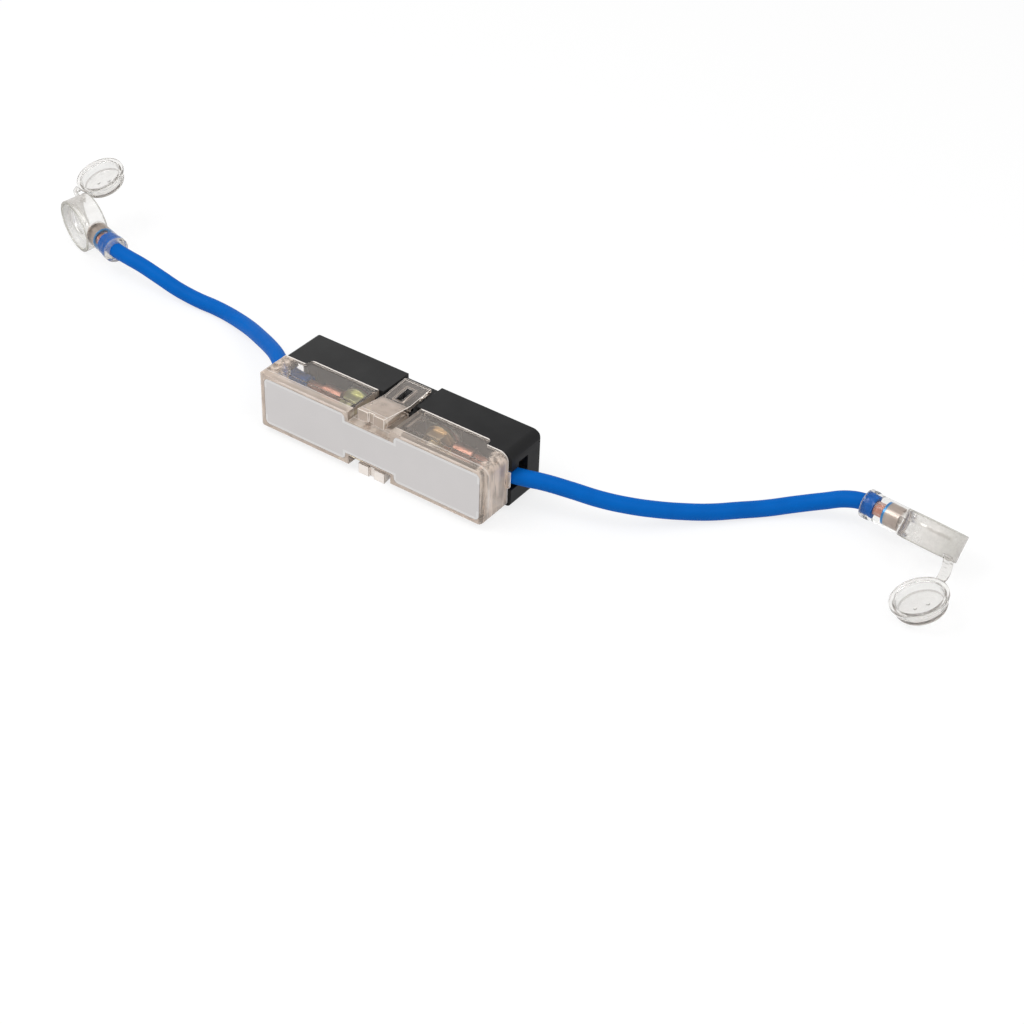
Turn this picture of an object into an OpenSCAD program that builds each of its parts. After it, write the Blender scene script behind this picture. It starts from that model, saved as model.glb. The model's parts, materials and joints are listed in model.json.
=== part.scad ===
// Inline holder for a bolt-down strip fuse, with a cable and a shrouded ring lug at each end.
// Millimetres. X runs along the holder, -Y is the labelled front, Z is up.
// The holder stands on edge: the tab of its lower latch touches the ground, z = 0.

/* [Holder] */
// Length of the case
case_len = 82.2; // [79:0.2:85]
// Height of the case, without the latch tabs
case_h = 18.1; // [17.5:0.1:19]
// Depth of the case, front face to back face
case_d = 26.2; // [25:0.1:28]
// How far the black base stands out past the cover on the right
base_lip = 1.1; // [0.9:0.1:1.3]
// How far the cover stands out past the base on the left
cover_lip = 0.6; // [0.4:0.1:0.8]
// Thickness of the moulded walls
wall = 1.4; // [1.2:0.1:1.6]
// Thickness of the cover's front wall
front_wall = 2.4; // [2:0.1:2.8]
// Radius of the cover's upright edges
edge_r = 2; // [1:0.5:3]
// Radius of the base's upright edges
back_r = 1; // [0.5:0.5:2]

/* [Latches] */
// Width of the waist notch that each latch sits in
notch_w = 15.2; // [14.6:0.1:16]
// Depth of the waist notch
notch_h = 3; // [2.8:0.1:3.2]
// Width of a latch arm
latch_w = 9.4; // [8:0.1:10]
// Thickness of a latch arm
latch_t = 1.4; // [1.2:0.1:1.5]
// How far a latch tab stands out past the case
tab_rise = 2.1; // [1.8:0.1:2.4]

/* [Terminals] */
// Distance between the two fuse studs
stud_spacing = 30; // [29:0.5:31]
// Diameter of a fuse stud
stud_d = 5; // [4:1:5]
// Width of a nut across its flats
nut_af = 8; // [7.5:0.5:8.5]
// Diameter of the ring on a lug inside the holder
inner_ring_d = 10; // [9:0.5:10.5]

/* [Cables] */
// Outer diameter of the insulation
cable_d = 4.9; // [4.6:0.1:4.9]
// Diameter of the bare copper strands
strand_d = 3; // [2.7:0.1:3]

/* [End lugs] */
// Diameter of the ring on an end lug
end_ring_d = 12; // [11.6:0.1:12.2]
// Diameter of the bolt hole in an end lug
end_hole_d = 8.4; // [6.4:0.1:8.4]

/* [Shrouds] */
// Outer diameter of a shroud's cup
cup_d = 17.8; // [17.5:0.1:18.2]
// Depth of a shroud's cup
cup_h = 8; // [7.8:0.1:8.2]
// Thickness of a shroud's wall
cup_wall = 1.25; // [1:0.05:1.3]
// Outer diameter of a shroud's neck
neck_d = 8; // [7.6:0.1:8.4]
// Distance from the cup's centre to the mouth of the neck
neck_len = 21.6; // [21:0.2:23]
// Width of the strap that joins a lid to its cup
strap_w = 3; // [2.6:0.1:3.2]

/* [Hidden] */
$fn = 64;

eps = 0.01;
case_low = tab_rise;
case_high = tab_rise + case_h;
mid_z = tab_rise + case_h / 2;
front_y = -case_d / 2;
back_y = case_d / 2;
cover_x = [-case_len / 2, case_len / 2 - base_lip];
base_x = [cover_lip - case_len / 2, case_len / 2];
cover_end = cover_x[1];
inner_end = cover_end - wall;

// The parting line steps forward near the ends of the case
split_mid_y = 1.2;
split_end_y = -1.3;
split_step_x = 32.5;
split_r = 1.5;

// Rounding of the case's end edges, larger at the upper right
end_r = 1.5;
end_top_r = 3;

// Waist of the case, between the two latches
waist_half = case_h / 2 - notch_h;
roof_low = mid_z + waist_half - wall;
roof_z = mid_z + waist_half;
recess_half_w = 6;
recess_z = mid_z + case_h / 2 - 1.6;

// Label card and the recess that holds it
label_t = 0.3;
label_r = 1.5;
label_gap = 0.12;

// Terminals, measured from the cable's axis
cable_y = 0.6;
tongue_t = 1;
tongue_y = 1.5;
strip_y = tongue_y + tongue_t;
strip_t = 1;
seat_y = strip_y + strip_t;
floor_y = back_y - 2.5;
stud_tip_y = -6.5;
stud_foot_y = 8;
lug_wall = 0.9;
lug_fit = 0.05;
barrel_len = 6.5;
end_barrel_x = 9;
end_barrel_len = 5.2;
barrel_x = 5.5;
insulation_end_x = 33;

// Cable slot in each end wall, the deeper step above it, and the tab of the cover that closes it
slot_half_z = 3.2;
slot_back_y = 6.5;
step_y = 2.2;
step_z = 4.8;
tab_z = [-1.9, 3.1];
tab_y = -2.4;

// Shroud, in its own frame: X along the neck, Z towards the lid, the strap on -Y
cup_r = cup_d / 2;
cup_in = cup_r - cup_wall;
lead_in = 0.6;
lead_h = 3;
bore_r = cable_d / 2 + 0.1;
ring_len = 2.5;
ring_d = neck_d + 0.6;
lid_gap = 0.3;
collar_r = 8.2;
collar_h = 1.1;
plug_r = 7.2;
plug_h = 3.4;
plug_wall = 1;
strap_from = -150;
strap_t = 0.7;
strap_bow = 2;
strap_z = 3;
strap_gap = 0.05;
lid_z = cup_h / 2 + lid_gap;

// Where each shroud lies, and the hinge line of its strap in the shroud's own frame
left_at = [-154.3, 30.6, 9.3];
left_turn = [-83.5, 0, -17.8];
left_pivot = [-2.1, -8.3, 5.3];
left_axis = [0.84, -0.43, 0.33];
left_open = 113;
right_at = [144.8, 52.1, 8.7];
right_turn = [-141.4, 0, 174.3];
right_pivot = [0, -12.7, 9.1];
right_axis = [0.88, -0.35, 0.32];
right_open = 142.7;

// Each end lug's place along its neck, and where the insulation ends beyond its barrel
left_lug_x = -1.4;
left_bare_x = 15;
right_lug_x = 1;
right_bare_x = 18.3;

// Centre lines of the two cables, from the inner lug to the end lug
left_route = [
    [-33, 0.6, 11.15], [-36.5, 0.7, 11.1], [-40, 1.3, 11], [-44, 2.8, 10.9], [-48.5, 5.5, 10.6],
    [-53.5, 9, 9.9], [-58, 11.8, 8.9], [-66, 16.3, 6.9], [-74, 20.5, 4.9], [-82, 23.6, 3.4],
    [-88.5, 25.3, 2.6], [-94, 25.7, 2.5], [-99, 25.5, 2.6], [-104, 25.1, 3.2], [-109, 24.7, 4.2],
    [-113.5, 24.3, 5.6], [-118, 23.9, 7], [-122.5, 23.6, 8.2], [-127.5, 23.4, 9],
    [-133.5, 24, 9.3], [-136.9, 25, 9.3], [-140, 26, 9.3]
];
right_route = [
    [33, 0.6, 11.15], [36.5, 0.8, 11.2], [40, 1.4, 11.3], [44, 2.6, 11.2], [48.2, 4.2, 11],
    [56, 6.5, 10.4], [63.5, 9.5, 9], [70, 13.9, 7.2], [76, 19.2, 5.4], [81.8, 24.9, 3.9],
    [87.5, 30.5, 3], [93, 36.5, 2.6], [98.6, 42.2, 2.5], [104.8, 47.8, 3.4], [111.4, 51.5, 5.4],
    [117.5, 53.8, 7.6], [123, 54.3, 8.7], [126.6, 53.9, 8.7]
];

function unit(v) = v / norm(v);

// Direction of a route at one of its points, and a side direction carried along it without twist
function heading(route, i) = unit(route[min(i + 1, len(route) - 1)] - route[max(i - 1, 0)]);
function level(v, t) = unit(v - t * (v * t));
function side(route, i, first) =
    level(i == 0 ? first : side(route, i - 1, first), heading(route, i));

// A closed solid through a row of rings of points
module skin(rings) {
    n = len(rings);
    m = len(rings[0]);
    points = [for (ring = rings) for (p = ring) p];
    start_face = [for (j = [0:m - 1]) j];
    end_face = [for (j = [m - 1:-1:0]) (n - 1) * m + j];
    walls = [
        for (i = [0:n - 2], j = [0:m - 1])
            let (k = (j + 1) % m, a = i * m, b = a + m)
            each [[a + j, b + j, b + k], [a + j, b + k, a + k]]
    ];
    polyhedron(points, concat([start_face, end_face], walls), convexity = 6);
}

module in_pair(right) {
    if (right) {
        children();
    } else {
        mirror([1, 0, 0]) children();
    }
}

module top_and_bottom() {
    children();
    translate([0, 0, 2 * mid_z]) mirror([0, 0, 1]) children();
}

module bar_x(r, x0, x1) {
    translate([x0, 0, 0]) rotate([0, 90, 0]) cylinder(r = r, h = x1 - x0);
}

module block(x, y, z) {
    translate([x[0], y[0], z[0]]) cube([x[1] - x[0], y[1] - y[0], z[1] - z[0]]);
}

// Plan of the whole case between two ends, with its upright edges rounded
module case_plan(x) {
    for (right = [false, true]) in_pair(right) {
        end_x = right ? x[1] : -x[0];
        translate([-1, front_y + edge_r]) square([end_x + 1, case_d - edge_r - back_r]);
        translate([-1, front_y]) square([end_x - edge_r + 1, edge_r + 1]);
        translate([-1, back_y - back_r - 1]) square([end_x - back_r + 1, back_r + 1]);
        translate([end_x - edge_r, front_y + edge_r]) circle(edge_r);
        translate([end_x - back_r, back_y - back_r]) circle(back_r);
    }
}

// Cuts that round the top and bottom edges of the case's ends
module end_cuts(x) {
    for (corner = [[-1, -1, end_r], [-1, 1, end_r], [1, -1, end_r], [1, 1, end_top_r]]) {
        r = corner[2];
        end_x = corner[0] < 0 ? x[0] : x[1];
        translate([end_x - corner[0] * r, 0, mid_z + corner[1] * (case_h / 2 - r)])
            rotate([90, 0, 0]) linear_extrude(40, center = true) difference() {
                scale([corner[0], corner[1]]) square(r + 1);
                circle(r);
            }
    }
}

// The part of the plan that belongs to the cover
module front_of_split() {
    far = front_y - 1;
    round_x = split_step_x - split_r;
    round_y = split_mid_y - split_r;
    translate([-50, far]) square([100, split_end_y - far]);
    translate([-split_step_x, far]) square([2 * split_step_x, round_y - far]);
    translate([-round_x, far]) square([2 * round_x, split_mid_y - far]);
    for (s = [-1, 1]) translate([s * round_x, round_y]) circle(split_r);
}

// Slot in an end wall that the cable leaves by, with a higher step at its back
module cable_slot(x) {
    block(x, [cable_y - slot_half_z, slot_back_y], [mid_z - slot_half_z, mid_z + slot_half_z]);
    block(x, [step_y, slot_back_y], [mid_z, mid_z + step_z]);
}

module cover() {
    shelf_y = front_y + front_wall + 2.8;
    low = case_low + wall;
    high = case_high - wall;
    chamber_x = notch_w / 2 + wall;
    color("gainsboro", 0.5)
    difference() {
        union() {
            difference() {
                translate([0, 0, case_low]) linear_extrude(case_h) intersection() {
                    case_plan(cover_x);
                    front_of_split();
                }
                end_cuts(cover_x);
            }
            for (right = [false, true]) in_pair(right)
                block([inner_end, cover_end + 1], [tab_y, split_end_y - 0.15],
                    [mid_z + tab_z[0], mid_z + tab_z[1]]);
        }
        top_and_bottom() block([-notch_w / 2, notch_w / 2], [front_y - 1, back_y], [roof_z, 30]);
        for (right = [false, true]) in_pair(right) {
            block([chamber_x, inner_end], [shelf_y, back_y], [low, high]);
            block([chamber_x + 0.8, inner_end - 0.8], [front_y + front_wall, shelf_y + eps],
                [low + 0.8, high - 0.8]);
        }
        block([-chamber_x - eps, chamber_x + eps], [shelf_y, back_y],
            [2 * mid_z - roof_low, roof_low]);
        for (right = [false, true]) in_pair(right)
            translate([0, cable_y, mid_z]) bar_x(slot_half_z, inner_end - 1, cover_end);
        translate([0, front_y + label_t, mid_z]) rotate([90, 0, 0])
            linear_extrude(2) label_plan(label_gap);
    }
}

// Label outline: two rounded fields joined by a narrower one across the waist
module label_plan(grow) {
    field_x = 38.6;
    field_h = 7.8;
    neck_x = 8.8;
    neck_h = 5.5;
    r = label_r + grow;
    for (s = [-1, 1]) {
        for (x = [neck_x + label_r, field_x - label_r], z = [-1, 1])
            translate([s * x, z * (field_h - label_r)]) circle(r);
        translate([s * (field_x + neck_x) / 2, 0]) {
            square([field_x - neck_x + 2 * grow, 2 * (field_h - label_r)], center = true);
            square([field_x - neck_x - 2 * label_r, 2 * (field_h + grow)], center = true);
        }
    }
    square([2 * neck_x + 1, 2 * (neck_h + grow)], center = true);
}

module label() {
    color("lightgray")
    translate([0, front_y + label_t, mid_z]) rotate([90, 0, 0])
        linear_extrude(label_t) label_plan(0);
}

// Rocker latch: a finger tab at the front, a foot on the waist and a slotted arm over the catch
foot_front_y = -1.1;
foot_back_y = 0.2;
arm_back_y = 9.8;
slot_y = [0.6, 6];
slot_half = 0.95;

module latch() {
    tab_front = front_y + 0.9;
    tab_high = case_high + tab_rise;
    foot_high = case_high + 0.15;
    arm_high = case_high + 0.8;
    color("wheat", 0.6)
    difference() {
        translate([-latch_w / 2, 0, 0]) rotate([90, 0, 90]) linear_extrude(latch_w) polygon([
            [tab_front, tab_high], [foot_front_y, foot_high + 0.1], [foot_back_y, foot_high],
            [arm_back_y, arm_high], [arm_back_y, arm_high - latch_t],
            [foot_back_y, foot_high - latch_t], [foot_back_y, roof_z],
            [foot_front_y, roof_z], [foot_front_y, foot_high - 2], [tab_front, tab_high - 3.4]
        ]);
        block([-slot_half, slot_half], slot_y, [roof_z, 30]);
        block([-slot_half, slot_half], [tab_front - 1, tab_front + 0.7], [roof_z, 30]);
    }
}

module latch_top() {
    latch();
}

module latch_bottom() {
    translate([0, 0, 2 * mid_z]) mirror([0, 0, 1]) latch();
}

// Black base: two wiring chambers, the fuse pocket between them and a recess under each latch
module base() {
    chamber = [case_low + 2, case_high - 2];
    pocket = [2 * mid_z - recess_z + 1.9, recess_z - 1.9];
    color([0.12, 0.12, 0.13])
    difference() {
        union() {
            difference() {
                translate([0, 0, case_low]) linear_extrude(case_h) difference() {
                    case_plan(base_x);
                    front_of_split();
                }
                end_cuts(base_x);
                for (right = [false, true]) in_pair(right)
                    block([9.6, inner_end], [front_y, floor_y], chamber);
                block([-10, 10], [front_y, floor_y], pocket);
                top_and_bottom()
                    block([-recess_half_w, recess_half_w], [front_y, back_y + 1], [recess_z, 30]);
                for (right = [false, true]) in_pair(right) cable_slot([inner_end - 1, 50]);
            }
            top_and_bottom() {
                for (s = [-1, 1]) translate([s * 6.15, 0, 0])
                    block([-1.15, 1.15], [foot_front_y, split_mid_y + 1], [roof_z + 0.2, recess_z]);
                rotate([90, 0, 90]) translate([0, 0, -0.75]) linear_extrude(1.5)
                    polygon([[3, recess_z - 0.5], [5.8, recess_z - 0.5], [5.8, recess_z + 2], [4.9, recess_z + 2]]);
            }
            for (s = [-1, 1]) translate([s * stud_spacing / 2, 0, 0])
                block([-5.5, 5.5], [seat_y, floor_y + 0.5], [mid_z - 5, mid_z + 5]);
        }
        for (s = [-1, 1]) translate([s * stud_spacing / 2, 0, mid_z]) rotate([-90, 0, 0]) {
            cylinder(d = stud_d + 0.04, h = stud_foot_y);
            translate([0, 0, stud_foot_y - 2]) cylinder(d = stud_d + 3.04, h = 2.02);
        }
    }
}

module stud() {
    tip = 0.6;
    color("silver")
    translate([stud_spacing / 2, 0, mid_z]) rotate([-90, 0, 0]) rotate_extrude() polygon([
        [0, stud_tip_y], [stud_d / 2 - tip, stud_tip_y], [stud_d / 2, stud_tip_y + tip],
        [stud_d / 2, stud_foot_y - 2], [stud_d / 2 + 1.5, stud_foot_y - 2],
        [stud_d / 2 + 1.5, stud_foot_y], [0, stud_foot_y]
    ]);
}

// Flange nut, seated on the lug's tongue
module nut() {
    flange_h = 1.2;
    nut_h = 4.5;
    color("goldenrod")
    translate([stud_spacing / 2, tongue_y, mid_z]) rotate([90, 0, 0]) difference() {
        union() {
            cylinder(r = 5.4, h = flange_h);
            cylinder(d = nut_af / cos(30), h = nut_h, $fn = 6);
        }
        translate([0, 0, -1]) cylinder(d = stud_d + 0.04, h = nut_h + 2);
    }
}

module fuse_strip() {
    strip_x = 20.5;
    strip_w = 8;
    end_r = 3;
    color("silver")
    translate([0, seat_y, mid_z]) rotate([90, 0, 0]) linear_extrude(strip_t) difference() {
        union() {
            square([2 * (strip_x - end_r), strip_w], center = true);
            for (sx = [-1, 1], sz = [-1, 1])
                translate([sx * (strip_x - end_r), sz * (strip_w / 2 - end_r)]) circle(end_r);
            square([2 * strip_x, strip_w - 2 * end_r], center = true);
        }
        for (s = [-1, 1]) {
            translate([s * stud_spacing / 2, 0]) circle(d = stud_d + 0.5);
            translate([0, s * 3.6]) square([8, 5.2], center = true);
        }
    }
}

module fuse_body() {
    half_x = 8.5;
    half_z = 4.3;
    y = [-2.5, 8.5];
    color("dimgray")
    difference() {
        block([-half_x, half_x], y, [mid_z - half_z, mid_z + half_z]);
        block([-6, 6], [0, 6], [mid_z - 3, mid_z + 3]);
        block([-10, 10], [strip_y, seat_y], [mid_z - 4, mid_z + 4]);
    }
}

// Crimped ring lug: ring at the origin, barrel along +X, tongue below the barrel's axis
module ring_lug(ring_d, hole_d, barrel_x, barrel_len) {
    barrel_r = strand_d / 2 + lug_fit + lug_wall;
    top = cable_y - tongue_y;
    color([0.72, 0.68, 0.62])
    difference() {
        union() {
            translate([0, 0, top - tongue_t]) cylinder(d = ring_d, h = tongue_t);
            intersection() {
                block([0, barrel_x + 1], [-barrel_r, barrel_r], [top - tongue_t, top]);
                bar_x(barrel_r, 0, barrel_x + 1);
            }
            bar_x(barrel_r, barrel_x, barrel_x + barrel_len);
        }
        bar_x(strand_d / 2 + lug_fit, barrel_x + 0.4, barrel_x + barrel_len + 1);
        translate([0, 0, top - 2]) cylinder(d = hole_d, h = 3);
    }
}

module inner_lug() {
    translate([stud_spacing / 2, cable_y, mid_z]) rotate([90, 0, 0])
        ring_lug(inner_ring_d, stud_d + 0.4, barrel_x, barrel_len);
}

module inner_strands() {
    start_x = stud_spacing / 2 + barrel_x + 0.5;
    color("peru")
    translate([0, cable_y, mid_z]) bar_x(strand_d / 2, start_x, insulation_end_x - 0.1);
}

module cable(route) {
    sides = 10;
    r = cable_d / 2;
    color([0, 0.36, 0.72]) skin([
        for (i = [0:len(route) - 1])
            let (t = heading(route, i), a = side(route, i, [0, 0, 1]), b = cross(t, a))
            [for (k = [0:sides - 1]) route[i] + r * (a * cos(k * 360 / sides) + b * sin(k * 360 / sides))]
    ]);
}

module end_lug(x) {
    translate([x, 0, 0]) ring_lug(end_ring_d, end_hole_d, end_barrel_x, end_barrel_len);
}

module outer_strands(lug_x, bare_x) {
    color("peru") bar_x(strand_d / 2, lug_x + end_barrel_x + 0.5, bare_x - 0.1);
}

// Soft shroud: an open ring of a cup with a neck for the cable
module shroud() {
    color("whitesmoke", 0.5)
    difference() {
        union() {
            translate([0, 0, -cup_h / 2]) cylinder(r = cup_r, h = cup_h);
            bar_x(neck_d / 2, cup_in - 0.5, neck_len);
            bar_x(ring_d / 2, neck_len - ring_len, neck_len);
        }
        translate([0, 0, -cup_h]) cylinder(r = cup_in, h = 2 * cup_h);
        translate([0, 0, cup_h / 2 - lead_h])
            cylinder(r1 = cup_in, r2 = cup_in + lead_in, h = lead_h);
        bar_x(bore_r, 0, neck_len + 1);
    }
}

// Lid as it sits when shut: a collar on a dished plug
module shut_lid() {
    floor_z = lid_z - plug_h;
    top_z = lid_z + collar_h;
    dish_r = plug_r - plug_wall;
    color("whitesmoke", 0.6) {
        rotate_extrude() polygon([
            [0, floor_z], [plug_r - 0.5, floor_z], [plug_r, floor_z + 1], [plug_r, lid_z],
            [collar_r, lid_z], [collar_r, top_z], [dish_r + 0.6, top_z],
            [dish_r, floor_z + plug_wall], [0, floor_z + plug_wall]
        ]);
        for (s = [-1, 1]) translate([s * 1.8, 0, floor_z + plug_wall - 0.1]) cylinder(r = 0.5, h = 0.4);
    }
}

module opened(pivot, axis, angle) {
    translate(pivot) rotate(a = angle, v = axis) translate(-pivot) children();
}

// Turns a direction or a point about a hinge line, as opened() turns a solid
function spun(v, axis, angle) =
    let (k = unit(axis)) v * cos(angle) + cross(k, v) * sin(angle) + k * (k * v) * (1 - cos(angle));
function turned(p, pivot, axis, angle) = pivot + spun(p - pivot, axis, angle);

// Strap from the cup's wall out to the edge of the opened lid, twisting as it goes
module strap(pivot, axis, angle) {
    steps = 8;
    out = [cos(strap_from), sin(strap_from), 0];
    across = cross([0, 0, 1], out);
    far_across = spun(across, axis, angle);
    rim = [0, 0, lid_z + collar_h / 2];
    root = (cup_r + strap_gap) * out + [0, 0, strap_z];
    root_out = root + strap_bow * out;
    lid_out = spun(out, axis, angle);
    edge = turned((collar_r + strap_gap) * out + rim, pivot, axis, angle);
    edge_out = edge + strap_bow * lid_out;
    path = [
        for (i = [0:steps])
            let (t = i / steps, s = 1 - t)
            root * s * s * s + root_out * 3 * s * s * t + edge_out * 3 * s * t * t + edge * t * t * t
    ];
    color("whitesmoke", 0.6) skin([
        for (i = [0:steps])
            let (
                t = i == 0 ? out : i == steps ? -lid_out : heading(path, i),
                a = level(across * (steps - i) + far_across * i, t), b = cross(t, a)
            )
            [
                for (c = [[1, 1], [-1, 1], [-1, -1], [1, -1]])
                    path[i] + a * c[0] * strap_w / 2 + b * c[1] * strap_t / 2
            ]
    ]);
}

module on_left() {
    translate(left_at) rotate(left_turn) children();
}

module on_right() {
    translate(right_at) rotate(right_turn) children();
}

base();
cover();
latch_top();
latch_bottom();
label();
in_pair(false) stud();  // stud_left
in_pair(true) stud();  // stud_right
in_pair(false) nut();  // nut_left
in_pair(true) nut();  // nut_right
fuse_body();
fuse_strip();
in_pair(false) inner_lug();  // inner_lug_left
in_pair(true) inner_lug();  // inner_lug_right
in_pair(false) inner_strands();  // inner_strands_left
in_pair(true) inner_strands();  // inner_strands_right
cable(left_route);  // cable_left
cable(right_route);  // cable_right
on_left() outer_strands(left_lug_x, left_bare_x);  // outer_strands_left
on_right() outer_strands(right_lug_x, right_bare_x);  // outer_strands_right
on_left() end_lug(left_lug_x);  // end_lug_left
on_right() end_lug(right_lug_x);  // end_lug_right
on_left() shroud();  // shroud_left
on_right() shroud();  // shroud_right
on_left() strap(left_pivot, left_axis, left_open);  // strap_left
on_right() strap(right_pivot, right_axis, right_open);  // strap_right
on_left() opened(left_pivot, left_axis, left_open) shut_lid();  // lid_left
on_right() opened(right_pivot, right_axis, right_open) shut_lid();  // lid_right
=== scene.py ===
import bpy, bmesh, json, math
from mathutils import Euler, Matrix, Vector
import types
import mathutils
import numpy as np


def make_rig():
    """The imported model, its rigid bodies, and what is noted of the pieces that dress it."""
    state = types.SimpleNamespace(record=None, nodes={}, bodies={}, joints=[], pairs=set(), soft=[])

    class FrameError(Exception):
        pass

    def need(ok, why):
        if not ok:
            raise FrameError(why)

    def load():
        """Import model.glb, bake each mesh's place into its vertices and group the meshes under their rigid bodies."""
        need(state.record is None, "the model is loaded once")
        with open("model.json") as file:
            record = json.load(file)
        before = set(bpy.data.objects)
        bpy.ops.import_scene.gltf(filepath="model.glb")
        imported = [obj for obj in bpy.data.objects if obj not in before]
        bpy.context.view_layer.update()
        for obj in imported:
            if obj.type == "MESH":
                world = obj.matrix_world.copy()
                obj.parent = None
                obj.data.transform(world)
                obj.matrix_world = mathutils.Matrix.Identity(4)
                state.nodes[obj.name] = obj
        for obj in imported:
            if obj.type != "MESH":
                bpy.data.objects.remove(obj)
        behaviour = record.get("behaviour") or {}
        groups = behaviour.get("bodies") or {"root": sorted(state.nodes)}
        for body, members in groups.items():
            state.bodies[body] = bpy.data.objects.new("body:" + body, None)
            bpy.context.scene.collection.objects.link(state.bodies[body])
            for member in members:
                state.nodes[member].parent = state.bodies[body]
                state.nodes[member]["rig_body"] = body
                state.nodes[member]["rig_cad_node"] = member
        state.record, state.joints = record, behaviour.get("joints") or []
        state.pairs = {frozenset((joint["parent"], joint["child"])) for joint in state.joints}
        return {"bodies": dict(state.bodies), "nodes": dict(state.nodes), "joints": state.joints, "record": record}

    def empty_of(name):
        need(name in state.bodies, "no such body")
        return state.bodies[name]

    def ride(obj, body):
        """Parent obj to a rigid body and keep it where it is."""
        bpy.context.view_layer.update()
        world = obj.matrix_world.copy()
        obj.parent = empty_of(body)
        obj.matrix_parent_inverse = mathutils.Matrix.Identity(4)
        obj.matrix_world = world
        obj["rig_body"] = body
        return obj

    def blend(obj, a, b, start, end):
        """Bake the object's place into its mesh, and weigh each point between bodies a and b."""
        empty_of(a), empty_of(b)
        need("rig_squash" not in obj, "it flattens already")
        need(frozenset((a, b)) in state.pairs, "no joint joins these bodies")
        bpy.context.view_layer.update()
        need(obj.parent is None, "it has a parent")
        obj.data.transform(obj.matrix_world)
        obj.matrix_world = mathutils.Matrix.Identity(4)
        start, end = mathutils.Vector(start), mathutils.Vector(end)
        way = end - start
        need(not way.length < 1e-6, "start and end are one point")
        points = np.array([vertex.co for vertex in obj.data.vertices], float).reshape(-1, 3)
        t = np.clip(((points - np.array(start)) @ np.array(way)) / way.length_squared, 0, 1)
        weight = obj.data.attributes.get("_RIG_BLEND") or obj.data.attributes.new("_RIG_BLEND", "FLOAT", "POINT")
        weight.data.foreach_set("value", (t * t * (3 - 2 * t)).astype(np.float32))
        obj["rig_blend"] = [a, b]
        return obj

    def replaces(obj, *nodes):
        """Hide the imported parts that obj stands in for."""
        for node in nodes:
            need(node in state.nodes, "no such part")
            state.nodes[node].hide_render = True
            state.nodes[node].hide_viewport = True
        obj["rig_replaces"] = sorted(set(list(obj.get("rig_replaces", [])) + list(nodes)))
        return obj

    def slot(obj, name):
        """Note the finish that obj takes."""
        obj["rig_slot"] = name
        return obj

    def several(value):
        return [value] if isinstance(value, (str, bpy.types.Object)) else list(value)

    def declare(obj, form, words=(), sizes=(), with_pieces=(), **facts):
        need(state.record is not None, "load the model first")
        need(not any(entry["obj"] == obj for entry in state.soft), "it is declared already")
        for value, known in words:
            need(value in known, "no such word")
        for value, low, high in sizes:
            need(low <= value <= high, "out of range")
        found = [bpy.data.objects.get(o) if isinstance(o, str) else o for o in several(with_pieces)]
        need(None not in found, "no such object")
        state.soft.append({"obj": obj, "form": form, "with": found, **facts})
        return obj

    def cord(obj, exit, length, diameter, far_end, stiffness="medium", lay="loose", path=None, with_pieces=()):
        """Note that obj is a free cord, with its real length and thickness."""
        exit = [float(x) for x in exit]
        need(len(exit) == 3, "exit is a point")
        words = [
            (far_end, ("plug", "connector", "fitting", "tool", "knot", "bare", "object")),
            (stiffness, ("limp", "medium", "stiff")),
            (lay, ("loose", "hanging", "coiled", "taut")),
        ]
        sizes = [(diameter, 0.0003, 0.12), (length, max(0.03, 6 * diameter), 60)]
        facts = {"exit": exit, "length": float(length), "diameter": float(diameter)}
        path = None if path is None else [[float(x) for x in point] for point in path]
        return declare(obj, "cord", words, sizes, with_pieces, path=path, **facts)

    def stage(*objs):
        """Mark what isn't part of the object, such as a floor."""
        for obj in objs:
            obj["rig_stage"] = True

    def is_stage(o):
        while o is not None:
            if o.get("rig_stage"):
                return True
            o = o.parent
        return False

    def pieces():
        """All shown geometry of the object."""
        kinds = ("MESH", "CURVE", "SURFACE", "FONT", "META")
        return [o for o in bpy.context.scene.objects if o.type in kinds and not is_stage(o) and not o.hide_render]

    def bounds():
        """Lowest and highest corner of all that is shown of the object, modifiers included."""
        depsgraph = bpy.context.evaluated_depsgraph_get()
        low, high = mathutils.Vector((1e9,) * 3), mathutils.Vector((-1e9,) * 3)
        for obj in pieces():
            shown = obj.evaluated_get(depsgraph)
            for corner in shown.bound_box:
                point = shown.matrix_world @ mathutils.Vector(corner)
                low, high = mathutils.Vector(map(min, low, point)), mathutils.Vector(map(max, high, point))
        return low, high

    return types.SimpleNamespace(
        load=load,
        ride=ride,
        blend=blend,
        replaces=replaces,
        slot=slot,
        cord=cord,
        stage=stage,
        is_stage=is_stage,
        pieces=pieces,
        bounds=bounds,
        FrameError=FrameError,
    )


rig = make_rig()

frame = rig.load()
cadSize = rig.bounds()
scene = bpy.context.scene
scene.view_settings.view_transform = "Standard"
print("frame loaded")

# camera
cameraSettings = {
    "place": (0.307172, -0.392328, 0.364160),
    "forward": (-0.44524, 0.65592, -0.60953),
    "up": (-0.37398, 0.48229, 0.79217),
    "lens": 74.6,
    "sensor": 36,
}


def makeCamera():
    data = bpy.data.cameras.new("camera")
    data.lens = cameraSettings["lens"]
    data.sensor_width = cameraSettings["sensor"]
    data.clip_start = 0.01
    camera = bpy.data.objects.new("camera", data)
    scene.collection.objects.link(camera)
    forward = Vector(cameraSettings["forward"]).normalized()
    right = forward.cross(Vector(cameraSettings["up"])).normalized()
    up = right.cross(forward)
    turn = Matrix((right, up, -forward)).transposed().to_4x4()
    camera.matrix_world = Matrix.Translation(cameraSettings["place"]) @ turn
    scene.camera = camera


makeCamera()
print("camera placed")


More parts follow.
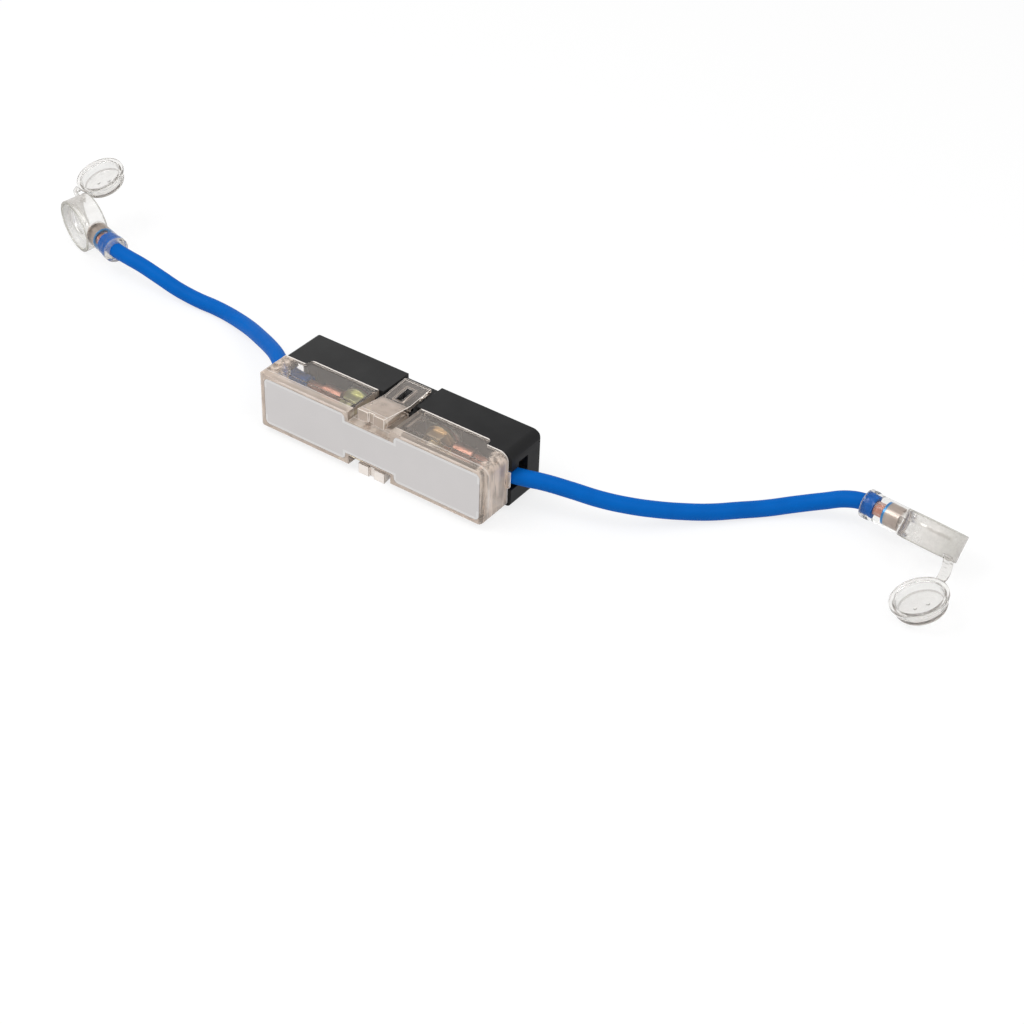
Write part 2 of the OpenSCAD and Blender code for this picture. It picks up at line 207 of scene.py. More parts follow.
# shader helpers: arithmetic on a Wire adds Math nodes
class Wire:
    def __init__(self, sheet, socket):
        self.sheet = sheet
        self.socket = socket

    def math(self, operation, first, second=0.0):
        return self.sheet.add("ShaderNodeMath", {"operation": operation}, {0: first, 1: second})

    def __add__(self, other):
        return self.math("ADD", self, other)

    def __radd__(self, other):
        return self.math("ADD", other, self)

    def __sub__(self, other):
        return self.math("SUBTRACT", self, other)

    def __rsub__(self, other):
        return self.math("SUBTRACT", other, self)

    def __mul__(self, other):
        return self.math("MULTIPLY", self, other)

    def __rmul__(self, other):
        return self.math("MULTIPLY", other, self)

    def __abs__(self):
        return self.math("ABSOLUTE", self)

    def __lt__(self, other):
        return self.math("LESS_THAN", self, other)

    def smaller(self, other):
        return self.math("MINIMUM", self, other)

    def larger(self, other):
        return self.math("MAXIMUM", self, other)

    def clipped(self):
        return self.larger(0).smaller(1)

    # 0 up to zero, then 1 once it is past a width
    def rise(self, width):
        return (self * (1 / width)).clipped()

    # 1 at zero, and 0 beyond a width on either side
    def band(self, width):
        return (1 - abs(self) * (1 / width)).clipped()


class NodeSheet:
    def __init__(self, tree):
        self.tree = tree
        tree.nodes.clear()

    # any node: its own settings first, then what its sockets hold
    def add(self, kind, settings=None, values=None, output=0):
        node = self.tree.nodes.new(kind)
        for key, value in (settings or {}).items():
            setattr(node, key, value)
        for key, value in (values or {}).items():
            socket = node.inputs[key]
            if isinstance(value, Wire):
                self.tree.links.new(value.socket, socket)
            else:
                socket.default_value = (*value, 1) if socket.type == "RGBA" else value
        return Wire(self, node.outputs[output]) if len(node.outputs) else node

    def place(self, stretch=(1, 1, 1)):
        point = self.add("ShaderNodeTexCoord", output="Object")
        return self.add("ShaderNodeMapping", values={"Vector": point, "Scale": stretch})

    def axes(self):
        split = self.add("ShaderNodeSeparateXYZ", values={"Vector": self.place()})
        return [Wire(self, output) for output in split.socket.node.outputs]

    def attribute(self, name):
        return self.add("ShaderNodeAttribute", {"attribute_name": name}, output="Fac")

    def noise(self, scale, detail=2.0, stretch=(1, 1, 1)):
        values = {"Vector": self.place(stretch), "Scale": scale, "Detail": detail}
        return self.add("ShaderNodeTexNoise", values=values)

    def bump(self, height, strength, distance):
        values = {"Height": height, "Strength": strength, "Distance": distance}
        return self.add("ShaderNodeBump", values=values)

    # this node's colour sockets are the ones at 6 and 7
    def blendColour(self, factor, first, second):
        values = {0: factor, 6: first, 7: second}
        return self.add("ShaderNodeMix", {"data_type": "RGBA"}, values, output=2)

    def principled(self, values):
        return self.add("ShaderNodeBsdfPrincipled", values=values)

    def finish(self, surface, depth=None):
        out = {"Surface": surface}
        if depth:
            volume = {"Color": depth[0], "Density": depth[1]}
            out["Volume"] = self.add("ShaderNodeVolumeAbsorption", values=volume)
        self.add("ShaderNodeOutputMaterial", values=out)

    # a clear body, of whose surface a share is painted, which scatters light
    def milky(self, look, share, colour, bump):
        glass = self.principled({
            "Base Color": look["body"], "Roughness": look["roughness"], "IOR": look["index"],
            "Transmission Weight": 1, "Normal": bump,
        })
        paint = self.principled({
            "Base Color": colour, "Roughness": look["paintRoughness"], "Normal": bump,
        })
        surfaces = {0: share, 1: glass, 2: paint}
        self.finish(self.add("ShaderNodeMixShader", values=surfaces), look["depth"])


def newMaterial(name):
    material = bpy.data.materials.new(name)
    material.use_nodes = True
    return material, NodeSheet(material.node_tree)


# where the faces of the cover and its latches lie
case = {
    "middle": 0.01115,
    "end": 0.0398,
    "half": 0.009,
    "notchHalf": 0.0078,
    "waist": 0.0059,
    "front": -0.013,
    "armStart": -0.001,
}

# how milky each part of the clear plastic is: 0 is glass, 1 is paint
milk = {
    # rim faces are painted pale, as a painted edge highlight
    "rim": 0.95,
    "front": 0.6,
    "end": 0.42,
    "top": 0.085,
    "topSlope": 0.8,  # more for each metre to the right
    "notch": 0.4,
    "inner": 0.04,
    "tab": 0.34,
    "tabSide": 0.1,
    "arm": 0.07,
    # the latch's underside is all paint, painted pale: painted light standing in for the bright floor seen through it
    "under": 1.0,
    "underRim": 0.5,
    "slab": 0.4,
    "slabSlope": -4.5,  # less for each metre to the right
    "thick": 0.62,
    "thickLeast": 0.25,
    "seam": 0.8,
    "ledge": 0.7,
    "slotFrame": 0.45,
    "most": 0.96,
}

# where its thick front, solid ends, seam and latch slot lie
clearMarks = {
    "slabStart": -0.0106,
    "thickStart": 0.0352,
    "seam": 0.0012,
    "seamDrop": 0.0025,
    "seamStep": 0.0325,
    "seamHalf": 0.0006,
    "slotHalf": 0.00095,
    "slotStart": 0.0006,
    "slotEnd": 0.006,
    "slotFrame": 0.0008,
    "slotEdge": 0.0001,
}

# over what width each of those marks fades
clearFades = {
    "slab": 0.0004,
    "thick": 0.002,
    "seam": 0.000167,
    "seamStep": 0.00025,
    "notch": 0.000111,
    "line": 0.000357,
}

clearLook = {
    "body": (0.985, 0.975, 0.965),
    "roughness": 0.06,
    "index": 1.5,
    "depth": ((0.54, 0.34, 0.11), 30),  # the colour that thick parts take, and how fast
    "tan": ((0.66, 0.53, 0.43), (0.92, 0.78, 0.68)),
    # painted highlight colour, for rims, the seam line and the ledge line
    "pale": (1.0, 0.93, 0.87),
    # painted shade inside the latch slot
    "slot": (0.03, 0.028, 0.027),
    "paintRoughness": 0.35,
}


def clearPlastic():
    material, sheet = newMaterial("clearPlastic")
    x, y, _ = sheet.axes()
    along = abs(x)
    mark = clearMarks
    fade = clearFades
    flow = sheet.noise(170, 1.5, (1, 1, 0.35))
    smudge = sheet.noise(230, 3)
    streak = (sheet.noise(620, 2, (1, 1, 0.16)) - 0.38).rise(0.25)
    haze = sheet.attribute("haze")
    isRim = (haze - 0.6).rise(0.1)
    slab = (mark["slabStart"] - y).rise(fade["slab"]) * (milk["slab"] + milk["slabSlope"] * x)
    thick = (along - mark["thickStart"]).rise(fade["thick"]) * milk["thick"]
    thick = thick * (milk["thickLeast"] + streak)
    seam = mark["seam"] - (along - mark["seamStep"]).rise(fade["seamStep"]) * mark["seamDrop"]
    line = (y - seam + mark["seamHalf"]).rise(fade["seam"])
    line = line * (along - case["notchHalf"]).rise(fade["notch"])
    ledge = milk["ledge"] * (y - mark["slabStart"]).band(fade["line"])
    beyond = (mark["slotStart"] - y).larger(y - mark["slotEnd"])
    fromSlot = beyond.larger(along - mark["slotHalf"])
    slotFrame = milk["slotFrame"] * (fromSlot - mark["slotFrame"]).band(fade["line"])
    # painted shade: the walls of the latch slot are painted dark
    inSlotShade = fromSlot < mark["slotEdge"]
    # painted highlight: rims, the seam line and the ledge line are painted pale, as light edge lines
    paintedHighlight = isRim.larger(line).larger(ledge)
    share = haze * (0.72 + 0.56 * smudge)
    share = share.larger(slab).larger(thick).larger(milk["seam"] * line)
    share = share.larger(ledge).larger(slotFrame).larger(inSlotShade).smaller(milk["most"])
    colour = sheet.blendColour(paintedHighlight, sheet.blendColour(smudge, *clearLook["tan"]), clearLook["pale"])
    colour = sheet.blendColour(inSlotShade, colour, clearLook["slot"])
    sheet.milky(clearLook, share, colour, sheet.bump(flow, 0.12, 0.0004))
    return material


vinylLook = {
    "body": (0.98, 0.98, 0.97),
    "roughness": 0.12,
    "index": 1.33,
    "depth": ((0.60, 0.55, 0.48), 32),
    "grey": ((0.50, 0.45, 0.41), (0.78, 0.74, 0.70)),
    # painted shade: the cup's rim faces are painted darker
    "rim": (0.47, 0.46, 0.40),
    "paintRoughness": 0.4,
}


def clearVinyl():
    material, sheet = newMaterial("clearVinyl")
    flow = sheet.noise(260, 2)
    smudge = sheet.noise(420, 3)
    haze = sheet.attribute("haze")
    isRim = (haze - 0.5).rise(0.125)
    share = (haze * (0.5 + smudge)).clipped()
    colour = sheet.blendColour(isRim, sheet.blendColour(smudge, *vinylLook["grey"]), vinylLook["rim"])
    sheet.milky(vinylLook, share, colour, sheet.bump(flow, 0.08, 0.0003))
    return material


# painted shade: the black case is a little darker towards its right end, where less light falls on it
blackLook = {
    "left": (0.026, 0.026, 0.026),
    "right": (0.009, 0.009, 0.0095),
    "perMetre": 13,
    "roughness": 0.44,
    "shine": 0.16,
}


def blackPlastic():
    material, sheet = newMaterial("blackPlastic")
    x = sheet.axes()[0]
    grain = sheet.noise(4200, 3)
    cloud = sheet.noise(140, 3)
    # painted shade: the colour darkens towards the right end
    along = (x * blackLook["perMetre"] + 0.5 + 0.5 * (cloud - 0.5)).clipped()
    colour = sheet.blendColour(along, blackLook["left"], blackLook["right"])
    sheet.finish(sheet.principled({
        "Base Color": colour, "Roughness": blackLook["roughness"] + 0.16 * cloud,
        "Specular IOR Level": blackLook["shine"], "Normal": sheet.bump(grain, 0.35, 0.00006),
    }))
    return material


# the paler edge follows the card's outline, whose places are distances from the holder's middle
labelLook = {
    "card": ((0.60, 0.58, 0.575), (0.66, 0.635, 0.63)),
    "edge": (0.72, 0.705, 0.70),
    "roughness": 0.5,
    "fieldStart": 0.0088,
    "fieldEnd": 0.0386,
    "fieldHalf": 0.0078,
    "waistHalf": 0.0055,
    "border": 0.0008,
}


def cardLabel():
    material, sheet = newMaterial("cardLabel")
    x, _, z = sheet.axes()
    along = abs(x)
    upward = abs(z - case["middle"])
    field = (labelLook["fieldEnd"] - along).smaller(along - labelLook["fieldStart"])
    field = field.smaller(labelLook["fieldHalf"] - upward)
    inside = field.larger(labelLook["waistHalf"] - upward)
    edge = inside < labelLook["border"]
    cloud = sheet.noise(60, 3)
    colour = sheet.blendColour(edge, sheet.blendColour(cloud, *labelLook["card"]), labelLook["edge"])
    fibre = sheet.noise(2500, 2)
    sheet.finish(sheet.principled({
        "Base Color": colour, "Roughness": labelLook["roughness"] - 0.12 * cloud,
        "Normal": sheet.bump(fibre + edge, 0.2, 0.00004),
    }))
    return material


metalLook = {
    "zincPlate": {"shades": ((0.60, 0.58, 0.50), (0.74, 0.72, 0.64)), "roughness": 0.34},
    "copper": {"shades": ((0.46, 0.19, 0.13), (0.66, 0.35, 0.27)), "roughness": 0.46},
    "left nut": {"shades": ((0.58, 0.57, 0.28), (0.80, 0.83, 0.50)), "roughness": 0.42},
    "right nut": {"shades": ((0.58, 0.43, 0.26), (0.80, 0.64, 0.42)), "roughness": 0.42},
}


def metalSurface(sheet, colour, roughness):
    grain = sheet.noise(900, 3)
    return sheet.principled({
        "Base Color": colour, "Metallic": 1, "Roughness": roughness + 0.15 * (grain - 0.5),
        "Normal": sheet.bump(grain, 0.2, 0.00005),
    })


def plainMetal(name):
    material, sheet = newMaterial(name)
    look = metalLook[name]
    colour = sheet.blendColour(sheet.noise(180, 2), *look["shades"])
    sheet.finish(metalSurface(sheet, colour, look["roughness"]))
    return material


# yellow-green plating on the left nut, golden on the right one
def yellowPlate():
    material, sheet = newMaterial("yellowPlate")
    x = sheet.axes()[0]
    side = (x * 100 + 0.5).clipped()
    left, right = metalLook["left nut"], metalLook["right nut"]
    dark, light = (sheet.blendColour(side, *pair) for pair in zip(left["shades"], right["shades"]))
    colour = sheet.blendColour(sheet.noise(180, 2), dark, light)
    sheet.finish(metalSurface(sheet, colour, left["roughness"]))
    return material


# lengths along an end lug, from the middle of its ring
lugLook = {
    "ring": (0.93, 0.92, 0.90),
    "barrel": ((0.34, 0.27, 0.23), (0.58, 0.50, 0.45)),
    "edge": (0.04, 0.24, 0.55),
    "roughness": 0.36,
    "ringEnd": 0.0078,
    "ringFade": 0.00111,
    "edgeStart": 0.0133,
    "edgeFade": 0.00025,
    "length": 0.0142,
}


# tinned ring, browner barrel with a thin blue edge; "reach" is the distance along the lug
def tinPlate():
    material, sheet = newMaterial("tinPlate")
    reach = sheet.attribute("reach")
    isBarrel = (reach - lugLook["ringEnd"]).rise(lugLook["ringFade"])
    isEdge = (reach - lugLook["edgeStart"]).rise(lugLook["edgeFade"])
    barrel = sheet.blendColour(sheet.noise(300, 2), *lugLook["barrel"])
    colour = sheet.blendColour(isBarrel, lugLook["ring"], barrel)
    colour = sheet.blendColour(isEdge, colour, lugLook["edge"])
    sheet.finish(metalSurface(sheet, colour, lugLook["roughness"]))
    return material


insulationLook = {
    "shades": ((0.0, 0.1, 0.42), (0.0, 0.14, 0.56)),
    "roughness": 0.46,
    "shine": 0.06,
}


def blueVinyl():
    material, sheet = newMaterial("blueVinyl")
    cloud = sheet.noise(110, 3)
    skin = sheet.noise(1500, 2)
    colour = sheet.blendColour(cloud, *insulationLook["shades"])
    sheet.finish(sheet.principled({
        "Base Color": colour, "Roughness": insulationLook["roughness"] + 0.1 * skin,
        "Specular IOR Level": insulationLook["shine"], "Normal": sheet.bump(skin, 0.12, 0.00005),
    }))
    return material


fuseLook = {"shades": ((0.045, 0.043, 0.036), (0.07, 0.066, 0.055)), "roughness": 0.5}


def fusePlastic():
    material, sheet = newMaterial("fusePlastic")
    cloud = sheet.noise(400, 3)
    colour = sheet.blendColour(cloud, *fuseLook["shades"])
    roughness = fuseLook["roughness"] + 0.1 * cloud
    sheet.finish(sheet.principled({"Base Color": colour, "Roughness": roughness}))
    return material


looks = {
    "clear_plastic": clearPlastic(),
    "clear_pvc": clearVinyl(),
    "black_plastic": blackPlastic(),
    "label": cardLabel(),
    "zinc": plainMetal("zincPlate"),
    "brass": yellowPlate(),
    "tin": tinPlate(),
    "copper": plainMetal("copper"),
    "blue_pvc": blueVinyl(),
    "fuse_grey": fusePlastic(),
}
print("materials made")


# placing helpers
def addPiece(name, data):
    piece = bpy.data.objects.new(name, data)
    scene.collection.objects.link(piece)
    return piece


def standFor(piece, node, slotName, rides=True):
    piece.data.materials.clear()
    piece.data.materials.append(looks[slotName])
    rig.replaces(piece, node)
    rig.slot(piece, slotName)
    if rides:
        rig.ride(piece, frame["nodes"][node]["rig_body"])
    return piece


def settle(piece):
    shown = piece.evaluated_get(bpy.context.evaluated_depsgraph_get())
    mesh = bpy.data.meshes.new_from_object(shown)
    piece.modifiers.clear()
    piece.data = mesh


mending = {"gap": 0.000002, "flatWithin": 0.5}  # metres and degrees


# a merged copy of a CAD node, its flat faces whole again
def copyOf(node, name):
    mesh = bpy.data.meshes.new(name)
    work = bmesh.new()
    work.from_mesh(frame["nodes"][node].data)
    bmesh.ops.remove_doubles(work, verts=work.verts, dist=mending["gap"])
    flat = math.radians(mending["flatWithin"])
    bmesh.ops.dissolve_limit(work, angle_limit=flat, verts=work.verts, edges=work.edges)
    work.to_mesh(mesh)
    work.free()
    if "custom_normal" in mesh.attributes:
        mesh.attributes.remove(mesh.attributes["custom_normal"])
    return addPiece(name, mesh)


rounding = {
    "leastTurn": 32,  # degrees; an edge that turns less stays as it is
    "across": 0.4,  # how far aside an edge has to point to count as a crossing one
    "share": 0.44,  # of a crossing edge, so that the roundings at its two ends don't meet
}


# how much of the rounding each sharp edge gets: less beside a short edge that runs across it
def weighEdges(piece, width):
    work = bmesh.new()
    work.from_mesh(piece.data)
    weight = work.edges.layers.float.new("bevel_weight_edge")
    limit = math.radians(rounding["leastTurn"])
    for edge in work.edges:
        if len(edge.link_faces) != 2 or edge.calc_face_angle() < limit:
            continue
        along = (edge.verts[1].co - edge.verts[0].co).normalized()
        room = 1
        for vertex in edge.verts:
            for other in vertex.link_edges:
                way = other.other_vert(vertex).co - vertex.co
                if (way - along * way.dot(along)).length > rounding["across"] * way.length:
                    room = min(room, way.length)
        edge[weight] = min(1, rounding["share"] * room / width)
    work.to_mesh(piece.data)
    work.free()


# rounds the sharp edges and keeps flat faces flat; the new faces get the second
# material index, which marks them as rims
def roundEdges(piece, width, segments):
    weighEdges(piece, width)
    while len(piece.data.materials) < 2:
        piece.data.materials.append(None)
    bevel = piece.modifiers.new("bevel", "BEVEL")
    bevel.material = 1
    bevel.width = width
    bevel.segments = segments
    bevel.limit_method = "WEIGHT"
    bevel.miter_outer = "MITER_ARC"
    piece.data.shade_smooth()
    weighted = piece.modifiers.new("weighted", "WEIGHTED_NORMAL")
    weighted.keep_sharp = False
    settle(piece)


# writes how milky each face is; the rule is told which faces are rims
def setHaze(piece, rule):
    haze = piece.data.attributes.new("haze", "FLOAT", "FACE")
    for face in piece.data.polygons:
        haze.data[face.index].value = rule(face.center, face.normal, face.material_index == 1)
        face.material_index = 0


# a soft moulding: the copy is filled with small cells and smoothed, which rounds inner corners too
def melt(piece, cell, passes):
    remesh = piece.modifiers.new("remesh", "REMESH")
    remesh.mode = "VOXEL"
    remesh.voxel_size = cell
    remesh.use_smooth_shade = True
    smooth = piece.modifiers.new("smooth", "SMOOTH")
    smooth.factor = 0.5
    smooth.iterations = passes
    settle(piece)


# cables
cable = {
    "diameter": 0.0049,
    "length": {"left": 0.115, "right": 0.1133},
    "exitKnot": 2,  # the knot of each route that lies in the holder's end wall
    "left": [
        (-0.033, 0.0006, 0.01115), (-0.0365, 0.0007, 0.0111), (-0.040, 0.0013, 0.011),
        (-0.044, 0.0028, 0.0109), (-0.0485, 0.0055, 0.0106), (-0.0535, 0.009, 0.0099),
        (-0.058, 0.0118, 0.0089), (-0.066, 0.0163, 0.0069), (-0.074, 0.0205, 0.0049),
        (-0.082, 0.0236, 0.0034), (-0.0885, 0.0253, 0.0026), (-0.094, 0.0257, 0.0025),
        (-0.099, 0.0255, 0.0026), (-0.104, 0.0251, 0.0032), (-0.109, 0.0247, 0.0042),
        (-0.1135, 0.0243, 0.0056), (-0.118, 0.0239, 0.007), (-0.1225, 0.0236, 0.0082),
        (-0.1275, 0.0234, 0.009), (-0.1335, 0.024, 0.0093), (-0.1369, 0.025, 0.0093),
        (-0.140, 0.026, 0.0093),
    ],
    "right": [
        (0.033, 0.0006, 0.01115), (0.0365, 0.0008, 0.0112), (0.040, 0.0014, 0.0113),
        (0.044, 0.0026, 0.0112), (0.0482, 0.0042, 0.011), (0.056, 0.0065, 0.0104),
        (0.0635, 0.0095, 0.009), (0.070, 0.0139, 0.0072), (0.076, 0.0192, 0.0054),
        (0.0818, 0.0249, 0.0039), (0.0875, 0.0305, 0.003), (0.093, 0.0365, 0.0026),
        (0.0986, 0.0422, 0.0025), (0.1048, 0.0478, 0.0034), (0.1114, 0.0515, 0.0054),
        (0.1175, 0.0538, 0.0076), (0.123, 0.0543, 0.0087), (0.1266, 0.0539, 0.0087),
    ],
}


def makeCable(side):
    data = bpy.data.curves.new("insulation_" + side, "CURVE")
    data.dimensions = "3D"
    data.bevel_depth = cable["diameter"] / 2
    data.bevel_resolution = 7
    data.resolution_u = 10
    data.use_fill_caps = True
    spline = data.splines.new("BEZIER")
    spline.bezier_points.add(len(cable[side]) - 1)
    for knot, point in zip(spline.bezier_points, cable[side]):
        knot.co = point
        knot.handle_left_type = knot.handle_right_type = "AUTO"
    piece = addPiece("insulation_" + side, data)
    return standFor(piece, "cable_" + side, "blue_pvc")


sides = ("left", "right")
insulation = {side: makeCable(side) for side in sides}
print("cables laid")

# strands: a core with fine wires wound round it
strands = {
    "radius": 0.0015,
    "wire": 0.0002,
    "count": 21,
    "pitch": 0.022,
    "step": 0.0005,
}


def centreOf(node):
    corners = {tuple(round(c, 7) for c in v.co) for v in frame["nodes"][node].data.vertices}
    return sum((Vector(c) for c in corners), Vector()) / len(corners)


def makeStrands(node, start):
    middle = centreOf(node)
    axis = (middle - start).normalized()
    half = (middle - start).length
    side = axis.orthogonal().normalized()
    over = axis.cross(side)
    data = bpy.data.curves.new(node + "_wires", "CURVE")
    data.dimensions = "3D"
    data.bevel_depth = strands["wire"]
    data.bevel_resolution = 2
    data.use_fill_caps = True
    around = strands["radius"] - strands["wire"]
    steps = round(2 * half / strands["step"])
    for wire in range(strands["count"] + 1):
        isCore = wire == strands["count"]
        spline = data.splines.new("POLY")
        spline.points.add(steps)
        for i, point in enumerate(spline.points):
            reach = half * (2 * i / steps - 1)
            angle = 2 * math.pi * (wire / strands["count"] + reach / strands["pitch"])
            out = 0 if isCore else around
            spot = middle + axis * reach + (side * math.cos(angle) + over * math.sin(angle)) * out
            point.co = (*spot, 1)
            point.radius = around / strands["wire"] if isCore else 1
    return standFor(addPiece(node + "_wires", data), node, "copper")


wires = {}
for side in sides:
    wires[side] = makeStrands("outer_strands_" + side, Vector(cable[side][-1]))
    makeStrands("inner_strands_" + side, Vector(cable[side][0]))
print("strands wound")

# holder: how wide the edges of each kind of piece are rounded
edges = {
    "cover": 0.00042,
    "latch": 0.00034,
    "base": 0.0003,
    "metal": 0.00015,
    "lid": 0.00022,
}


# the node with its edges rounded, and with the haze that a rule gives, if it is clear
def makeEdged(node, width, slotName, rule=None, segments=2):
    piece = copyOf(node, node + "_shown")
    roundEdges(piece, width, segments)
    if rule:
        setHaze(piece, rule)
    return standFor(piece, node, slotName)


def coverHaze(centre, normal, isRim):
    if isRim:
        return milk["rim"]
    upward = abs(centre.z - case["middle"])
    if centre.y < case["front"]:
        return milk["front"]
    if abs(centre.x) > case["end"]:
        return milk["end"]
    if upward > case["half"]:
        return milk["top"] + milk["topSlope"] * centre.x
    if abs(centre.x) < case["notchHalf"] and upward > case["waist"]:
        return milk["notch"]
    return milk["inner"]


def latchHaze(centre, normal, isRim):
    # painted light: the underside is painted pale, standing in for the bright floor seen through it
    if centre.z < case["middle"]:
        return milk["underRim"] if isRim else milk["under"]
    if isRim:
        return milk["rim"]
    if abs(normal.x) > 0.5:
        return milk["tabSide"]
    return milk["tab"] if centre.y < case["armStart"] else milk["arm"]


makeEdged("base", edges["base"], "black_plastic")
makeEdged("cover", edges["cover"], "clear_plastic", coverHaze)
for node in ("latch_top", "latch_bottom"):
    makeEdged(node, edges["latch"], "clear_plastic", latchHaze)
for side in sides:
    makeEdged("nut_" + side, edges["metal"], "brass")
    makeEdged("stud_" + side, edges["metal"], "zinc")
    makeEdged("inner_lug_" + side, edges["metal"], "copper")
makeEdged("fuse_strip", edges["metal"], "zinc")
makeEdged("fuse_body", edges["metal"], "fuse_grey")
labelMesh = frame["nodes"]["label"].data
labelMesh.materials.clear()
labelMesh.materials.append(looks["label"])
print("holder finished")

# lugs, shrouds, straps and lids: where each shroud lies, and its lid's hinge line in its own frame
nests = {
    "left": {
        "at": (-0.1543, 0.0306, 0.0093), "turn": (-83.5, 0, -17.8),
        "pivot": (-0.0021, -0.0083, 0.0053), "axis": (0.84, -0.43, 0.33), "open": 113,
    },
    "right": {
        "at": (0.1448, 0.0521, 0.0087), "turn": (-141.4, 0, 174.3),
        "pivot": (0, -0.0127, 0.0091), "axis": (0.88, -0.35, 0.32), "open": 142.7,
    },
}

# the shroud's cup and neck in its own frame, with the neck along x and the cup about z
cupMould = {
    "cell": 0.00022,
    "passes": 4,
    "bore": 0.0027,
    "boreStart": 0.0068,
    "squeeze": 0.57,
    "half": 0.00365,
    "reach": 0.0092,
    "ringStart": 0.0192,
    "ringRim": 0.0212,
}
cupMilk = {
    "wall": 0.2,
    "shaded": 0.36,
    "inside": 0.01,
    "rim": 0.6,
    "neck": 0,
    "ring": 0.01,
    "ringEnd": 0.36,
}

lidMould = {"cornerHigh": 0.0021, "cornerReach": 0.0061, "segments": 3}
lidMilk = {"collar": 0.2, "corner": 0.5, "floor": 0.15, "wall": 0.09}

# root and edge are the strap's ends, as a distance out from the cup's middle and a height
strapMould = {
    "cell": 0.00012,
    "passes": 3,
    "haze": 0.16,
    "angle": -150,
    "root": (0.00895, 0.003),
    "edge": (0.00825, 0.00485),
}


def nestFrame(side):
    turn = Euler([math.radians(angle) for angle in nests[side]["turn"]]).to_matrix().to_4x4()
    return Matrix.Translation(nests[side]["at"]) @ turn


def lidSwing(side):
    nest = nests[side]
    axis = Vector(nest["axis"]).normalized()
    pivot = Matrix.Translation(nest["pivot"])
    return pivot @ Matrix.Rotation(math.radians(nest["open"]), 4, axis) @ pivot.inverted()


# the strap's two ends in the row frame, first on the cup and then on the opened lid
def strapEnds(side):
    angle = math.radians(strapMould["angle"])
    root, edge = (
        Vector((math.cos(angle) * out, math.sin(angle) * out, up))
        for out, up in (strapMould["root"], strapMould["edge"])
    )
    return nestFrame(side) @ root, nestFrame(side) @ lidSwing(side) @ edge


# the soft neck clings to what it holds, so its bore is narrower than the strands
def squeezeBore(cup, home):
    for vertex in cup.data.vertices:
        spot = home @ vertex.co
        if spot.x > cupMould["boreStart"] and math.hypot(spot.y, spot.z) < cupMould["bore"]:
            spot.y *= cupMould["squeeze"]
            spot.z *= cupMould["squeeze"]
            vertex.co = home.inverted() @ spot


def cupHaze(home, centre, normal):
    spot = home @ centre
    if spot.x > cupMould["reach"]:
        if spot.x > cupMould["ringRim"]:
            return cupMilk["ringEnd"]
        return cupMilk["ring"] if spot.x > cupMould["ringStart"] else cupMilk["neck"]
    # the rim faces, which take the painted shade colour
    if abs(spot.z) > cupMould["half"]:
        return cupMilk["rim"]
    facing = home.to_3x3() @ normal
    if facing.x * spot.x + facing.y * spot.y < 0:
        return cupMilk["inside"]
    # towards the strap the wall is milkier and darker: partly the thicker strap root, partly painted shade
    toStrap = math.cos(math.atan2(spot.y, spot.x) - math.radians(strapMould["angle"]))
    return cupMilk["wall"] + cupMilk["shaded"] * max(0, toStrap)


# home takes a point to the shut lid's place in the shroud's own frame
def lidHaze(home, centre):
    spot = home @ centre
    reach = math.hypot(spot.x, spot.y)
    if spot.z < lidMould["cornerHigh"]:
        return lidMilk["corner"] if reach > lidMould["cornerReach"] else lidMilk["floor"]
    return lidMilk["wall"]


# tells the tin which part of the lug is its barrel
def markReach(lug, home):
    reach = lug.data.attributes.new("reach", "FLOAT", "POINT")
    far = max((home @ vertex.co).x for vertex in lug.data.vertices)
    for vertex in lug.data.vertices:
        reach.data[vertex.index].value = (home @ vertex.co).x - far + lugLook["length"]


def makeShroud(side):
    node = "shroud_" + side
    home = nestFrame(side).inverted()
    cup = copyOf(node, "cup_" + side)
    squeezeBore(cup, home)
    melt(cup, cupMould["cell"], cupMould["passes"])
    setHaze(cup, lambda centre, normal, isRim: cupHaze(home, centre, normal))
    return standFor(cup, node, "clear_pvc")


def makeLid(side):
    shut = lidSwing(side).inverted() @ nestFrame(side).inverted()

    def rule(centre, normal, isRim):
        return lidMilk["collar"] if isRim else lidHaze(shut, centre)

    return makeEdged("lid_" + side, edges["lid"], "clear_pvc", rule, lidMould["segments"])


def makeStrap(side):
    node = "strap_" + side
    strap = copyOf(node, node + "_shown")
    melt(strap, strapMould["cell"], strapMould["passes"])
    setHaze(strap, lambda centre, normal, isRim: strapMould["haze"])
    standFor(strap, node, "clear_pvc", rides=False)
    cupEnd, lidEnd = strapEnds(side)
    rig.blend(strap, "holder", "lid_" + side, start=cupEnd, end=lidEnd)
    return strap


ends = {}
for side in sides:
    lug = makeEdged("end_lug_" + side, edges["metal"], "tin")
    markReach(lug, nestFrame(side).inverted())
    ends[side] = [lug, makeShroud(side), makeLid(side), makeStrap(side), wires[side]]
print("shrouds moulded")

for side in sides:
    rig.cord(
        insulation[side], exit=cable[side][cable["exitKnot"]], length=cable["length"][side],
        diameter=cable["diameter"], far_end="fitting", stiffness="medium", lay="loose",
        with_pieces=ends[side],
    )

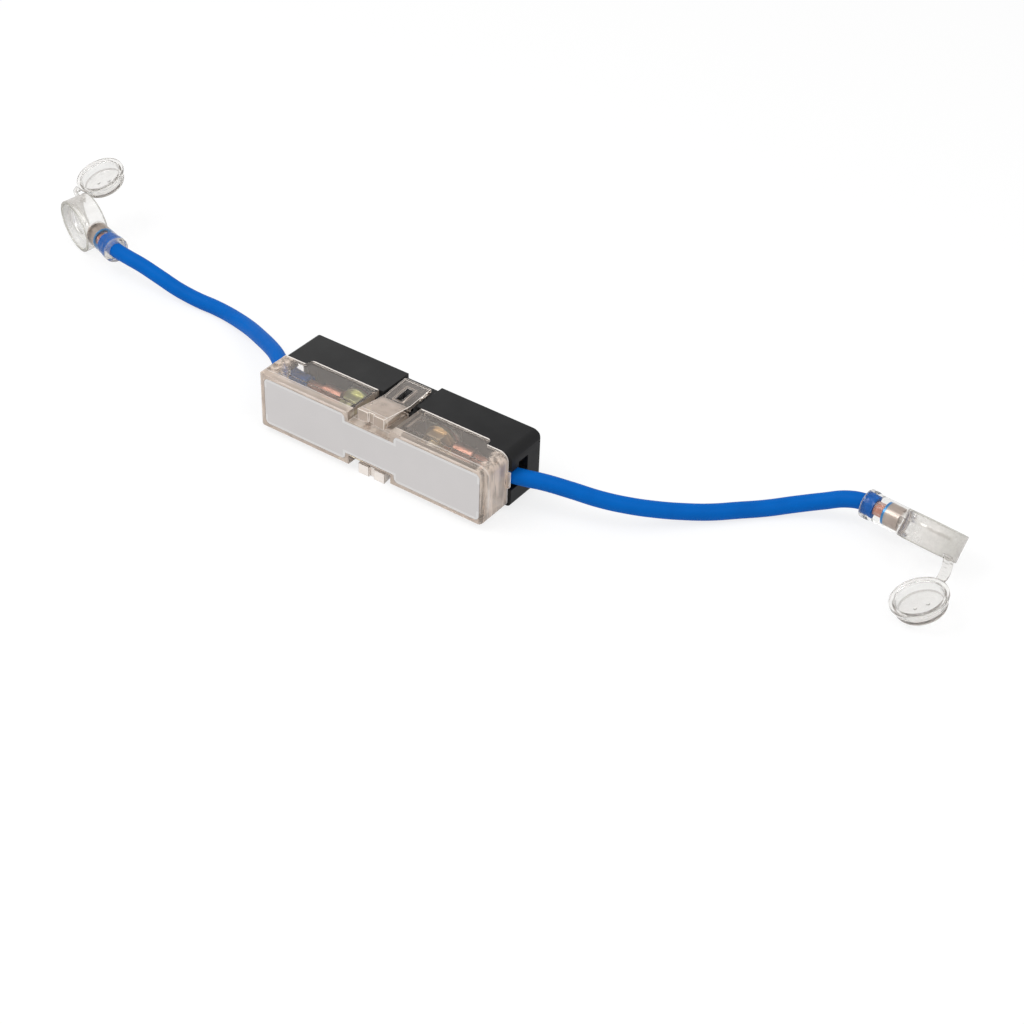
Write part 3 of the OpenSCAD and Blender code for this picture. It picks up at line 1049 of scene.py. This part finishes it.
# light and floor
light = {
    "world": 0.62,
    "floorShade": 0.85,
    "floorBright": 1.08,
    "floorGlow": 0.72,  # how much of the floor that is seen is bright, and takes no shadow
    "key": {"place": (-0.35, -0.35, 0.75), "size": 0.5, "power": 3.2},
    "fill": {"place": (0.5, -0.1, 0.6), "size": 0.5, "power": 1.2},
}


def seenDirectly(sheet):
    path = sheet.add("ShaderNodeLightPath").socket.node.outputs
    seen = Wire(sheet, path["Is Camera Ray"]).larger(Wire(sheet, path["Is Glossy Ray"]))
    return seen.larger(Wire(sheet, path["Is Transmission Ray"]))


def makeWorld():
    world = bpy.data.worlds.new("studio")
    world.use_nodes = True
    scene.world = world
    sheet = NodeSheet(world.node_tree)
    strength = light["world"] + (1 - light["world"]) * seenDirectly(sheet)
    sky = sheet.add("ShaderNodeBackground", values={"Color": (1, 1, 1), "Strength": strength})
    sheet.add("ShaderNodeOutputWorld", values={"Surface": sky})


def makeFloor():
    mesh = bpy.data.meshes.new("floor")
    work = bmesh.new()
    bmesh.ops.create_grid(work, x_segments=1, y_segments=1, size=3)
    work.to_mesh(mesh)
    work.free()
    floor = addPiece("floor", mesh)
    material, sheet = newMaterial("paleFloor")
    matt = sheet.add("ShaderNodeBsdfDiffuse", values={"Color": [light["floorShade"]] * 3})
    glow = {"Color": (1, 1, 1), "Strength": light["floorBright"]}
    bright = sheet.add("ShaderNodeEmission", values=glow)
    values = {0: light["floorGlow"] * seenDirectly(sheet), 1: matt, 2: bright}
    mixed = sheet.add("ShaderNodeMixShader", values=values)
    sheet.add("ShaderNodeOutputMaterial", values={"Surface": mixed})
    mesh.materials.append(material)
    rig.stage(floor)


def makeLamp(name, place, size, power):
    data = bpy.data.lights.new(name, "AREA")
    data.size = size
    data.energy = power
    lamp = addPiece(name, data)
    lamp.location = place
    lamp.rotation_euler = (-Vector(place)).to_track_quat("-Z", "Y").to_euler()


makeWorld()
makeFloor()
makeLamp("key", **light["key"])
makeLamp("fill", **light["fill"])
print("stage lit")

with open("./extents.json", "w") as sizes:
    boxes = {"cad": cadSize, "shown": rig.bounds()}
    json.dump({name: [list(corner) for corner in box] for name, box in boxes.items()}, sizes)
